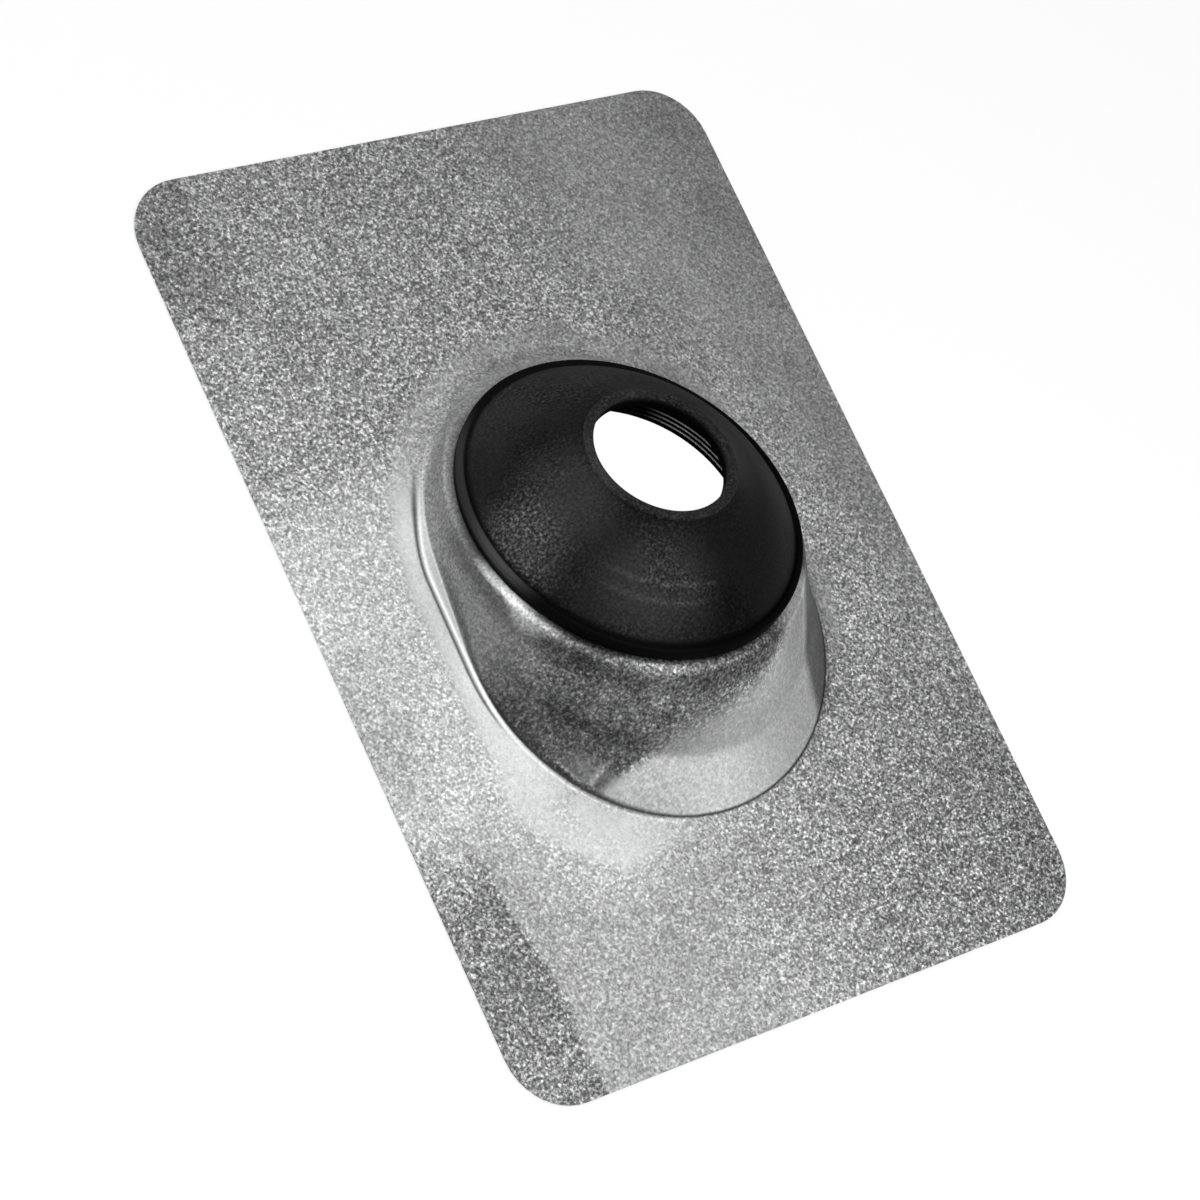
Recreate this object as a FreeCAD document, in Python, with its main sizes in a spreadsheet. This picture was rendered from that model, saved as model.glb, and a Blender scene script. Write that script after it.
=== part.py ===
"""Pipe flashing boot: a galvanised sheet base with a drawn hood, and a moulded rubber collar gripped on it.

Frame: X across the sheet, +Y up the roof slope, +Z away from the roof, the sheet's underside on Z = 0
and the origin at the middle of the sheet. The pipe axis leans up the slope, because a vent pipe stands
upright while the sheet lies on the pitch. All lengths are millimetres, all angles degrees.
"""
import FreeCAD, Part
import math
import os
import Sketcher

doc = FreeCAD.newDocument("PipeFlashingBoot")

# Driving sizes
SIZES = {
    # the flat sheet
    "plate_width": 228.6,
    "plate_length": 317.5,
    "plate_corner": 20.5,
    "sheet": 0.55,
    # where the hood stands and how the pipe leans
    "pipe_lean": 13.0,
    "collar_centre": 8.7,
    "back_rise": 2.2,
    # outline of the hood's foot and of the pressed ledge round it
    "foot_stretch": 30.5,
    "foot_shift": 0.7,
    "foot_spread": 2.0,
    "foot_widening": 3.4,
    "ledge_margin": 0.9,
    "ledge_height": 0.8,
    # the drawn wall between foot and shoulder
    "crown_stretch": 1.5,
    "belly_height": 0.30,
    "belly_spread": 0.55,
    "ring_reach": 0.9,
    "ring_stretch": 0.5,
    "shoulder_round": 2.6,
    "shoulder_turn": 68.0,
    # neck and turned-in flange that carry the collar
    "neck_height": 4.0,
    "neck_round": 1.0,
    "flange_opening": 42.5,
    # rubber collar
    "collar_radius": 58.7,
    "band_thickness": 2.2,
    "band_height": 4.8,
    "band_round": 0.9,
    "band_groove": 0.8,
    "fit_clearance": 0.3,
    "grip_inner": 39.0,
    "grip_overlap": 4.0,
    "grip_lip": 1.3,
    "grip_top": 8.8,
    "rib_depth": 0.6,
    "rib_pitch": 1.8,
    "rib_count": 3,
    "band_ledge": 1.2,
    "dome_radius": 60.0,
    "dome_break": 38.0,
    "dome_break_height": 20.0,
    "dome_slope": 28.2,
    "throat_curve": 75.0,
    "rubber_wall": 3.0,
    "cavity_inset": 7.0,
    "hole_radius": 22.6,
    "lip_width": 3.4,
    "lip_bead": 1.7,
    "lip_round": 0.6,
    "lip_depth": 5.0,
    "lip_height": 29.7,
}

sheet_table = doc.addObject("Spreadsheet::Sheet", "Sizes")
for row, (alias, number) in enumerate(SIZES.items(), start=1):
    sheet_table.set(f"A{row}", alias)
    sheet_table.set(f"B{row}", str(number))
    sheet_table.setAlias(f"B{row}", alias)
doc.recompute()


class Size:
    """A number together with the sheet expression that gives it."""

    def __init__(self, value, text):
        self.value = value
        self.text = text

    def __add__(self, other):
        other = as_size(other)
        return Size(self.value + other.value, f"({self.text} + {other.text})")

    def __sub__(self, other):
        other = as_size(other)
        return Size(self.value - other.value, f"({self.text} - {other.text})")

    def __mul__(self, other):
        other = as_size(other)
        return Size(self.value * other.value, f"({self.text} * {other.text})")


def as_size(thing):
    """Take a Size as it is and a plain number as a constant."""
    return thing if isinstance(thing, Size) else Size(thing, str(thing))


def named(alias):
    """The size kept in the sheet under this alias."""
    return Size(SIZES[alias], f"Sizes.{alias}")


def sine(angle):
    """Sine of an angle in degrees."""
    return Size(math.sin(math.radians(angle.value)), f"sin({angle.text} * 1 deg)")


def cosine(angle):
    """Cosine of an angle in degrees."""
    return Size(math.cos(math.radians(angle.value)), f"cos({angle.text} * 1 deg)")


def origin_plane(body, role):
    """The body's own origin plane with this role."""
    return next(item for item in body.Origin.OriginFeatures if item.Role == role)


def new_body(label):
    """An empty body whose label names its file."""
    body = doc.addObject("PartDesign::Body", label)
    body.Label = label
    return body


def place_sketch(body, name, role, shift_y=Size(0, "0"), shift_z=Size(0, "0"), lean=Size(0, "0")):
    """A sketch on an origin plane, moved along Y and Z and leaned about X, by sheet expressions."""
    sketch = body.newObject("Sketcher::SketchObject", name)
    sketch.AttachmentSupport = [(origin_plane(body, role), "")]
    sketch.MapMode = "FlatFace"
    if role == "XY_Plane":
        turn = FreeCAD.Rotation(FreeCAD.Vector(-1, 0, 0), max(lean.value, 0.001))
        sketch.AttachmentOffset = FreeCAD.Placement(FreeCAD.Vector(0, shift_y.value, shift_z.value), turn)
        sketch.setExpression("AttachmentOffset.Base.y", shift_y.text)
        sketch.setExpression("AttachmentOffset.Base.z", shift_z.text)
        sketch.setExpression("AttachmentOffset.Rotation.Angle", lean.text)
    return sketch


def fix(sketch, kind, *places, size):
    """Add a dimension and bind it to its sheet expression."""
    index = sketch.addConstraint(Sketcher.Constraint(kind, *places, size.value))
    sketch.setExpression(f"Constraints[{index}]", size.text)


def circle_sketch(body, name, radius, **place):
    """A circle about the sketch's origin."""
    sketch = place_sketch(body, name, "XY_Plane", **place)
    sketch.addGeometry(Part.Circle(FreeCAD.Vector(0, 0, 0), FreeCAD.Vector(0, 0, 1), radius.value), False)
    sketch.addConstraint(Sketcher.Constraint("Coincident", 0, 3, -1, 1))
    fix(sketch, "Radius", 0, size=radius)
    return sketch


def slot_sketch(body, name, stretch, front_radius, back_radius, **place):
    """An egg-shaped slot: a back arc about the origin, a front arc downslope, and their two tangents."""
    sketch = place_sketch(body, name, "XY_Plane", **place)
    reach = stretch.value
    front, back = front_radius.value, back_radius.value
    splay = math.asin((front - back) / reach)
    axis = FreeCAD.Vector(0, 0, 1)
    right = FreeCAD.Vector(math.cos(splay), math.sin(splay), 0)
    left = FreeCAD.Vector(-right.x, right.y, 0)
    front_centre = FreeCAD.Vector(0, -reach, 0)
    sketch.addGeometry(
        [
            Part.ArcOfCircle(Part.Circle(FreeCAD.Vector(0, 0, 0), axis, back), splay, math.pi - splay),
            Part.LineSegment(left * back, front_centre + left * front),
            Part.ArcOfCircle(Part.Circle(front_centre, axis, front), math.pi - splay, 2 * math.pi + splay),
            Part.LineSegment(front_centre + right * front, right * back),
        ],
        False,
    )
    sketch.addConstraint(
        [
            Sketcher.Constraint("Coincident", 0, 3, -1, 1),
            Sketcher.Constraint("PointOnObject", 2, 3, -2),
            Sketcher.Constraint("Tangent", 0, 2, 1, 1),
            Sketcher.Constraint("Tangent", 1, 2, 2, 1),
            Sketcher.Constraint("Tangent", 2, 2, 3, 1),
            Sketcher.Constraint("Tangent", 3, 2, 0, 1),
        ]
    )
    fix(sketch, "DistanceY", 2, 3, -1, 1, size=stretch)
    fix(sketch, "Radius", 2, size=front_radius)
    fix(sketch, "Radius", 0, size=back_radius)
    return sketch


def pad(body, name, sketch, length, backwards=False):
    """Raise a sketch to a length."""
    feature = body.newObject("PartDesign::Pad", name)
    feature.Profile = sketch
    feature.Length = length.value
    feature.Reversed = backwards
    feature.setExpression("Length", length.text)
    doc.recompute()
    return feature


def pocket(body, name, sketch, depth, upwards=False):
    """Cut a sketch to a depth, against its normal unless upwards, and see that metal came away."""
    before = body.Shape.Volume
    feature = body.newObject("PartDesign::Pocket", name)
    feature.Profile = sketch
    feature.Length = depth.value
    feature.Reversed = upwards
    feature.setExpression("Length", depth.text)
    doc.recompute()
    if body.Shape.Volume >= before:
        raise RuntimeError(f"{name} cut nothing")
    return feature


def loft(body, kind, name, sections):
    """Loft a smooth form through closed sections."""
    feature = body.newObject(kind, name)
    feature.Profile = sections[0]
    feature.Sections = sections[1:]
    feature.Ruled = False
    doc.recompute()
    return feature


def round_edges(body, name, belongs, radius):
    """Fillet every edge of the body for which belongs(edge) holds."""
    base = body.Tip
    picked = [f"Edge{i}" for i, edge in enumerate(base.Shape.Edges, start=1) if belongs(edge)]
    feature = body.newObject("PartDesign::Fillet", name)
    feature.Base = (base, picked)
    feature.Radius = radius.value
    feature.setExpression("Radius", radius.text)
    doc.recompute()
    return feature


# Galvanised base: one sheet, drawn into a hood, with a ledge pressed round the hood's foot
NODE_BASE = "galvanised_base"
base = new_body(NODE_BASE)
thickness = named("sheet")
lean = named("pipe_lean")
ledge_top = thickness + named("ledge_height")
neck_radius = named("collar_radius") - named("band_thickness") - named("fit_clearance")
ring_radius = named("collar_radius") + named("ring_reach")
turn = named("shoulder_turn")
wall_radius = ring_radius + named("shoulder_round") * sine(turn)
wall_depth = named("shoulder_round") * (as_size(1) - cosine(turn))
half_crown = named("crown_stretch") * 0.5
shoulder_z = ledge_top + named("back_rise") + (wall_radius + half_crown) * sine(lean)
foot_back = wall_radius + named("foot_spread")
foot_front = foot_back + named("foot_widening")
ledge_radius = foot_front + named("ledge_margin")
foot_y = named("collar_centre") - named("foot_shift")

corner = named("plate_corner")
half_width = named("plate_width") * 0.5
half_length = named("plate_length") * 0.5
outline = place_sketch(base, "SheetOutline", "XY_Plane")
w, l, c = half_width.value, half_length.value, corner.value
V = FreeCAD.Vector
straights = [
    (V(c - w, -l, 0), V(w - c, -l, 0)),
    (V(w, c - l, 0), V(w, l - c, 0)),
    (V(w - c, l, 0), V(c - w, l, 0)),
    (V(-w, l - c, 0), V(-w, c - l, 0)),
]
for side, (start, end) in enumerate(straights):
    outline.addGeometry(Part.LineSegment(start, end), False)
    centre = V(math.copysign(w - c, (1, 1, -1, -1)[side]), math.copysign(l - c, (-1, 1, 1, -1)[side]), 0)
    quarter = (side - 1) * math.pi / 2
    circle = Part.Circle(centre, V(0, 0, 1), c)
    outline.addGeometry(Part.ArcOfCircle(circle, quarter, quarter + math.pi / 2), False)
for side in range(4):
    line, arc, following = 2 * side, 2 * side + 1, (2 * side + 2) % 8
    outline.addConstraint(Sketcher.Constraint("Tangent", line, 2, arc, 1))
    outline.addConstraint(Sketcher.Constraint("Tangent", arc, 2, following, 1))
    outline.addConstraint(Sketcher.Constraint(("Horizontal", "Vertical")[side % 2], line))
for arc in (3, 5, 7):
    outline.addConstraint(Sketcher.Constraint("Equal", 1, arc))
fix(outline, "Radius", 1, size=corner)
fix(outline, "DistanceX", -1, 1, 2, 1, size=half_width)
fix(outline, "DistanceX", 6, 1, -1, 1, size=half_width)
fix(outline, "DistanceY", -1, 1, 4, 1, size=half_length)
fix(outline, "DistanceY", 0, 1, -1, 1, size=half_length)
pad(base, "Sheet", outline, thickness)

ledge_outline = slot_sketch(base, "LedgeOutline", named("foot_stretch"), ledge_radius, ledge_radius, shift_y=foot_y)
pad(base, "Ledge", ledge_outline, ledge_top)


def hood_section(name, spread, height, inset):
    """One outline of the hood's wall, from the foot (spread 1, height 0) up to its top (spread 0, height 1).

    The inner side of the sheet is the outer one drawn in, and down square to the section, by inset.
    """
    crown = named("crown_stretch")
    back = wall_radius + (foot_back - wall_radius) * spread
    front = wall_radius + (foot_front - wall_radius) * spread
    stretch = crown + (named("foot_stretch") - crown) * spread
    tilt = lean * height
    top_y = named("collar_centre") + half_crown * cosine(lean) - wall_depth * sine(lean)
    wall_rise = named("back_rise") - wall_depth * cosine(lean)
    back_y = top_y + (foot_y - top_y) * spread - inset * sine(tilt)
    back_z = ledge_top + wall_rise * height + back * sine(tilt) - inset * cosine(tilt)
    return slot_sketch(
        base, name, stretch, front - inset, back - inset, shift_y=back_y, shift_z=back_z, lean=tilt
    )


def shoulder_section(name, bend, stretch, inset):
    """One outline of the round between the wall and the flat ring, at this angle round the bend."""
    radius = ring_radius + named("shoulder_round") * sine(bend) - inset
    depth = named("shoulder_round") * (as_size(1) - cosine(bend)) + inset
    back_y = named("collar_centre") + stretch * cosine(lean) * 0.5 - depth * sine(lean)
    back_z = shoulder_z - stretch * sine(lean) * 0.5 - depth * cosine(lean)
    return slot_sketch(base, name, stretch, radius, radius, shift_y=back_y, shift_z=back_z, lean=lean)


def hood_lofts(kind, side, inset):
    """Loft the wall and then the shoulder round, for one side of the sheet."""
    wall_top = hood_section(side + "WallTop", as_size(0), as_size(1), inset)
    wall = [
        hood_section(side + "Foot", as_size(1), as_size(0), inset),
        hood_section(side + "Belly", named("belly_spread"), named("belly_height"), inset),
        wall_top,
    ]
    middle_stretch = (named("crown_stretch") + named("ring_stretch")) * 0.5
    shoulder = [
        shoulder_section(side + "RoundFoot", turn, named("crown_stretch"), inset),
        shoulder_section(side + "RoundMiddle", turn * 0.5, middle_stretch, inset),
        shoulder_section(side + "RoundTop", as_size(0), named("ring_stretch"), inset),
    ]
    loft(base, kind, side + "Wall", wall)
    loft(base, kind, side + "Shoulder", shoulder)


hood_lofts("PartDesign::AdditiveLoft", "Outer", as_size(0))


def on_plane(height, beyond=0.0):
    """Test whether an edge lies in the plane this far above the shoulder, and beyond this far from the pipe."""
    pipe = V(0, math.sin(math.radians(lean.value)), math.cos(math.radians(lean.value)))
    centre = V(0, named("collar_centre").value, shoulder_z.value)

    def belongs(edge):
        arms = [point - centre for point in edge.discretize(5)]
        level = all(abs(arm.dot(pipe) - height) < 0.01 for arm in arms)
        return level and all(arm.Length > beyond for arm in arms)

    return belongs


def along_pipe(height):
    """Where a sketch square to the pipe sits, this far above the shoulder."""
    return dict(
        shift_y=named("collar_centre") + height * sine(lean),
        shift_z=shoulder_z + height * cosine(lean),
        lean=lean,
    )


neck_height = named("neck_height")
neck_outline = circle_sketch(base, "NeckOutline", neck_radius, **along_pipe(as_size(0)))
pad(base, "Neck", neck_outline, neck_height)

hood_lofts("PartDesign::SubtractiveLoft", "Inner", thickness)
underside_radius = ledge_radius - thickness
underside_outline = slot_sketch(
    base, "LedgeUndersideOutline", named("foot_stretch"), underside_radius, underside_radius, shift_y=foot_y
)
pocket(base, "LedgeUnderside", underside_outline, named("ledge_height"), upwards=True)

neck_inside = circle_sketch(base, "NeckInside", neck_radius - thickness, **along_pipe(neck_height - thickness))
pocket(base, "NeckHollow", neck_inside, neck_height + thickness)
opening_outline = circle_sketch(base, "OpeningOutline", named("flange_opening"), **along_pipe(neck_height))
pocket(base, "FlangeOpening", opening_outline, thickness * 2)
round_edges(base, "NeckRound", on_plane(neck_height.value, beyond=neck_radius.value - 1), named("neck_round"))


# Rubber collar: one moulding turned about the pipe's line, with a ring below that is slotted onto the flange
NODE_COLLAR = "rubber_collar"
collar = new_body(NODE_COLLAR)
centre = V(0, named("collar_centre").value, shoulder_z.value)
collar.Placement = FreeCAD.Placement(centre, FreeCAD.Rotation(V(-1, 0, 0), lean.value))
collar.setExpression("Placement.Base.y", named("collar_centre").text)
collar.setExpression("Placement.Base.z", shoulder_z.text)
collar.setExpression("Placement.Rotation.Angle", lean.text)


def turned_profile(body, name, outline):
    """A closed outline in the X-Z plane from (radius, height, bend) corners.

    The bend of a corner is the radius of the arc to the next one, positive where it turns left and
    negative where it turns right. A corner without a bend starts a straight side.
    """
    sketch = place_sketch(body, name, "XZ_Plane")
    ends = []
    for index, (x, y, bend) in enumerate(outline):
        next_x, next_y, _ = outline[(index + 1) % len(outline)]
        start = V(x.value, y.value, 0)
        end = V(next_x.value, next_y.value, 0)
        if bend is None:
            sketch.addGeometry(Part.LineSegment(start, end), False)
            ends.append((1, 2))
            continue
        turns_left = bend.value > 0
        radius = abs(bend.value)
        chord = end - start
        leftward = V(-chord.y, chord.x, 0).normalize()
        offset = math.sqrt(radius**2 - (chord.Length / 2) ** 2)
        middle = (start + end) * 0.5 + leftward * (offset if turns_left else -offset)
        first, last = (start, end) if turns_left else (end, start)
        angles = [math.atan2(point.y - middle.y, point.x - middle.x) for point in (first, last)]
        if angles[1] < angles[0]:
            angles[1] += 2 * math.pi
        sketch.addGeometry(Part.ArcOfCircle(Part.Circle(middle, V(0, 0, 1), radius), *angles), False)
        ends.append((1, 2) if turns_left else (2, 1))
    for index, (x, y, bend) in enumerate(outline):
        following = (index + 1) % len(outline)
        begin, finish = ends[index]
        sketch.addConstraint(Sketcher.Constraint("Coincident", index, finish, following, ends[following][0]))
        fix(sketch, "DistanceX", -1, 1, index, begin, size=x)
        fix(sketch, "DistanceY", -1, 1, index, begin, size=y)
        if bend is not None:
            fix(sketch, "Radius", index, size=bend if bend.value > 0 else bend * -1)
    return sketch


clearance = named("fit_clearance")
collar_radius = named("collar_radius")
band_inner = neck_radius + clearance
band_round = named("band_round")
band_bottom = clearance
band_top = clearance + named("band_height")
ledge_inner = collar_radius - band_round - named("band_ledge")
groove_floor = band_top - named("band_groove")
dome_foot = ledge_inner - named("band_groove")
break_radius = named("dome_break")
break_height = named("dome_break_height")
wall = named("rubber_wall")
hole = named("hole_radius")
lip_outer = hole + named("lip_width")
lip_top = named("lip_height")
lip_round = named("lip_round")
bead_foot = lip_top - named("lip_bead")
bore_end = lip_top - named("lip_depth")
throat_top = bore_end - lip_round
inside_break = break_radius - wall * sine(named("dome_slope"))
inside_break_height = break_height - wall * cosine(named("dome_slope"))
cavity_radius = dome_foot - named("cavity_inset")
grip_top = named("grip_top")
grip_inner = named("grip_inner")
grip_outer = named("flange_opening") + named("grip_overlap")
slot_floor = named("flange_opening") - clearance
slot_bottom = neck_height - thickness - clearance
grip_bottom = slot_bottom - named("grip_lip")
rib_depth = named("rib_depth")

# The outer side from the band's foot up to the hole
outside = [
    (collar_radius - band_round, band_bottom, band_round),
    (collar_radius, band_bottom + band_round, None),
    (collar_radius, band_top - band_round, band_round),
    (collar_radius - band_round, band_top, None),
    (ledge_inner, band_top, None),
    (ledge_inner, groove_floor, None),
    (dome_foot, band_top, named("dome_radius")),
    (break_radius, break_height, named("throat_curve") * -1),
    (lip_outer, bead_foot, None),
    (lip_outer, lip_top - lip_round, lip_round),
    (lip_outer - lip_round, lip_top, None),
    (hole + lip_round, lip_top, lip_round),
    (hole, lip_top - lip_round, None),
]
# The hollow from the hole down to the grip ring, whose inside carries sealing ribs
throat = [
    (hole, bore_end, None),
    (lip_outer, throat_top, named("throat_curve") + wall),
    (inside_break, inside_break_height, (named("dome_radius") - wall) * -1),
    (cavity_radius, grip_top, None),
    (grip_inner + rib_depth, grip_top, None),
]
for number in range(SIZES["rib_count"]):
    rib_height = grip_top - rib_depth * 1.5 - named("rib_pitch") * number
    throat.append((grip_inner + rib_depth, rib_height + rib_depth, None))
    throat.append((grip_inner, rib_height, None))
    throat.append((grip_inner + rib_depth, rib_height - rib_depth, None))
# The grip ring's foot, the slot over the flange and the seat on it
grip = [
    (grip_inner + rib_depth, grip_bottom, None),
    (grip_outer, grip_bottom, None),
    (grip_outer, slot_bottom, None),
    (slot_floor, slot_bottom, None),
    (slot_floor, neck_height, None),
    (band_inner, neck_height, None),
    (band_inner, band_bottom, None),
]
collar_profile = turned_profile(collar, "CollarProfile", outside + throat + grip)
turned = collar.newObject("PartDesign::Revolution", "CollarTurned")
turned.Profile = collar_profile
turned.ReferenceAxis = (collar_profile, ["V_Axis"])
turned.Angle = 360
doc.recompute()

# Check every feature, then write one file for each piece
for item in doc.Objects:
    if "Invalid" in item.State or "Error" in item.State:
        raise RuntimeError(f"{item.Name} failed: {item.State}")
os.makedirs("parts", exist_ok=True)
for piece in (base, collar):
    if piece.Shape.isNull() or not piece.Shape.isValid() or len(piece.Shape.Solids) != 1:
        raise RuntimeError(f"{piece.Label} is not one valid solid")
    piece.Shape.exportStep(f"parts/{piece.Label}.step")
    print(piece.Label, round(piece.Shape.Volume / 1000, 2), "cm3")
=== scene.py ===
import math

import bpy
import numpy as np
from mathutils import Matrix, Vector


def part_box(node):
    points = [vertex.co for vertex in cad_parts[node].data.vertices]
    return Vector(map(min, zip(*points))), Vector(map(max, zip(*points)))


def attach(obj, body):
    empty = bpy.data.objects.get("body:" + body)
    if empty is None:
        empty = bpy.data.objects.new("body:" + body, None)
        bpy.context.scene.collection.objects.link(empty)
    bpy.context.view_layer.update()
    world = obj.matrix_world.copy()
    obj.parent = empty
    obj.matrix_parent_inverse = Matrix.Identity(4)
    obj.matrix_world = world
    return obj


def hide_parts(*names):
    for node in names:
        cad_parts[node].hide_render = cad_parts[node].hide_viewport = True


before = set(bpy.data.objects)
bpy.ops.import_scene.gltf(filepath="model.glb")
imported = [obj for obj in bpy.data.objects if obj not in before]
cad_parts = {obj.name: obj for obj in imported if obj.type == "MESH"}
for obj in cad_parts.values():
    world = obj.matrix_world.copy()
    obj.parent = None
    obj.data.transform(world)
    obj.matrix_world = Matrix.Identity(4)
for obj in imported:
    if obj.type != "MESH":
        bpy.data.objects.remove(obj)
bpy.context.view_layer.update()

# The galvanised base: one sheet of hot-dip galvanised steel whose middle is pressed up into a hood. On
# top the hood turns in to a neck and a flange that carry the collar, round its foot the press leaves a
# low ledge, and its downslope side runs out in a shallow flare.
_, plate_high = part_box("galvanised_base")
half_width, half_length = plate_high.x, plate_high.y
sheet = 0.00055
plate_corner = 0.0205
lean = math.radians(13.0)
pipe_axis = np.array([0, math.sin(lean), math.cos(lean)])
upslope = np.array([0, math.cos(lean), -math.sin(lean)])
shoulder_centre = np.array([0, 0.0087, 0.01768])
shoulder_radius = 0.0616
flange_opening = 0.0425
neck_radius, neck_height = 0.0562, 0.0040
# The foot and the ledge are each drawn round two discs on the Y axis, given as (y, radius).
foot_back, foot_front = (0.0080, 0.0640), (-0.0225, 0.0674)
ledge_back, ledge_front = (0.0080, 0.0679), (-0.0225, 0.0683)
ledge_top = sheet + 0.0008
ledge_side = 0.0007
flat_margin = 0.0040
around = 400


def smooth_step(value, low, high):
    """0 below low, 1 above high, and a smooth rise between."""
    share = np.clip((value - low) / (high - low), 0, 1)
    return share * share * (3 - 2 * share)


def leaned_ring(angles, radius, height):
    """A circle square to the pipe, this far up the pipe from the hood's shoulder."""
    across = np.outer(np.cos(angles), [1, 0, 0]) + np.outer(np.sin(angles), upslope)
    return shoulder_centre + height * pipe_axis + np.reshape(radius, (-1, 1)) * across


def slot_ring(angles, back, front, height, grow=0.0, discs=120):
    """A level outline drawn tightly round the discs between two on the Y axis, each (y, radius)."""
    eye = (back[0] + front[0]) / 2
    share = np.linspace(0, 1, discs)[:, None]
    centre = back[0] + (front[0] - back[0]) * share - eye
    radius = back[1] + (front[1] - back[1]) * share + grow
    aside = np.abs(centre * np.cos(angles))
    half_chord = np.sqrt(np.maximum(radius**2 - aside**2, 0))
    reach = np.where(radius > aside, centre * np.sin(angles) + half_chord, 0).max(axis=0)
    level = np.zeros_like(angles) + height
    return np.stack([reach * np.cos(angles), eye + reach * np.sin(angles), level], axis=1)


def plate_ring(angles, height):
    """The sheet's outline: a rectangle with rounded corners."""
    tiny = 1e-9
    run, rise = np.abs(np.cos(angles)), np.abs(np.sin(angles))
    side = half_width / np.maximum(run, tiny)
    end = half_length / np.maximum(rise, tiny)
    centre = np.array([half_width - plate_corner, half_length - plate_corner])
    along = centre[0] * run + centre[1] * rise
    aside = centre[0] * rise - centre[1] * run
    corner = along + np.sqrt(np.maximum(plate_corner**2 - aside**2, 0))
    reach = np.where(side * rise <= centre[1], side, np.where(end * run <= centre[0], end, corner))
    level = np.zeros_like(angles) + height
    return np.stack([reach * np.cos(angles), reach * np.sin(angles), level], axis=1)


def rounded_path(corners, radii, cuts, bends=6):
    """Points along many paths at once, each corner rounded to its radius and each straight cut up."""
    most_of_a_side, least_opening = 0.48, 1e-3
    points = [corners[:, 0]]
    start = corners[:, 0]
    last = corners.shape[1] - 1
    for index in range(1, last + 1):
        corner = corners[:, index]
        arc = []
        finish = leave = corner
        if index < last:
            before, after = corners[:, index - 1] - corner, corners[:, index + 1] - corner
            length_before = np.linalg.norm(before, axis=1, keepdims=True)
            length_after = np.linalg.norm(after, axis=1, keepdims=True)
            before, after = before / length_before, after / length_after
            opening = np.arccos(np.clip(np.sum(before * after, axis=1, keepdims=True), -1, 1))
            reach = np.reshape(radii[index], (-1, 1)) / np.tan(np.maximum(opening, least_opening) / 2)
            reach = np.minimum(reach, most_of_a_side * np.minimum(length_before, length_after))
            finish, leave = corner + before * reach, corner + after * reach
            for share in np.linspace(0, 1, bends + 1)[1:]:
                pulled = 2 * share * (1 - share) * corner
                arc.append((1 - share) ** 2 * finish + pulled + share**2 * leave)
        for share in np.linspace(0, 1, cuts[index - 1] + 1)[1:]:
            points.append(start + (finish - start) * share)
        points.extend(arc)
        start = leave
    return np.stack(points, axis=1)


def grid_mesh(name, grid):
    """A mesh of quads over rows of points that close round the piece."""
    rows, columns = grid.shape[:2]
    number = np.arange(rows * columns).reshape(rows, columns)
    following = np.roll(number, -1, axis=0)
    quads = np.stack([number[:, :-1], number[:, 1:], following[:, 1:], following[:, :-1]], axis=-1)
    mesh = bpy.data.meshes.new(name)
    mesh.from_pydata(grid.reshape(-1, 3).tolist(), [], quads.reshape(-1, 4).tolist())
    piece = bpy.data.objects.new(name, mesh)
    bpy.context.scene.collection.objects.link(piece)
    return piece


def bake_modifiers(piece, sharp_from):
    """Turn the piece and its modifiers into one plain mesh, smooth apart from its sharp edges."""
    evaluated = piece.evaluated_get(bpy.context.evaluated_depsgraph_get())
    mesh = bpy.data.meshes.new_from_object(evaluated)
    piece.modifiers.clear()
    piece.data = mesh
    mesh.shade_smooth()
    mesh.set_sharp_from_angle(angle=math.radians(sharp_from))


turn = np.linspace(0, 2 * math.pi, around, endpoint=False)
outwards = np.stack([np.cos(turn), np.sin(turn), 0 * turn], axis=1)
upwards = np.array([0.0, 0.0, 1.0])
downslope = smooth_step(-np.sin(turn), 0.05, 0.75)[:, None]

# The foot is crisp in front and at the sides. Behind, it spreads and sinks towards the sheet.
foot_spread, foot_drop = 0.0022, 0.0006
foot = slot_ring(turn, foot_back, foot_front, ledge_top)
crisp = 1 - smooth_step(foot[:, 1], 0.030, 0.058)[:, None]
foot += (1 - crisp) * (foot_spread * outwards - foot_drop * upwards)

# The wall bends at a knee between shoulder and foot, lower down on the flare.
shoulder = leaned_ring(turn, shoulder_radius, 0.0)
knee_spread = 0.50 + 0.04 * downslope
knee_height = 0.46 - 0.19 * downslope
knee_share = np.concatenate([knee_spread, knee_spread, 1 - knee_height], axis=1)
knee = shoulder + (foot - shoulder) * knee_share

# The ledge narrows behind, and dies out in front and on the right, where the foot comes down.
foot_least, ledge_least, ledge_rise = 0.0002, 0.0001, 0.0007
ledge = slot_ring(turn, ledge_back, ledge_front, ledge_top)
narrowed = 0.0020 * smooth_step(ledge[:, 1], 0.008, 0.036)
widened = 0.0014 * smooth_step(ledge[:, 1], 0.040, 0.058)
ledge_inset = (narrowed - widened)[:, None] * outwards
ledge -= ledge_inset
gone_in_front = smooth_step(-ledge[:, 1], 0.020, 0.046)
gone_on_right = smooth_step(ledge[:, 0], 0.030, 0.055)
ledge_gone = np.maximum(gone_in_front, gone_on_right)[:, None]
foot[:, 2:] = np.maximum(foot[:, 2:] - foot_drop * ledge_gone, sheet + foot_least)
ledge[:, 2:] = sheet + ledge_least + ledge_rise * crisp * (1 - 0.95 * ledge_gone)
ledge_foot = slot_ring(turn, ledge_back, ledge_front, sheet, grow=ledge_side) - ledge_inset

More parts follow.
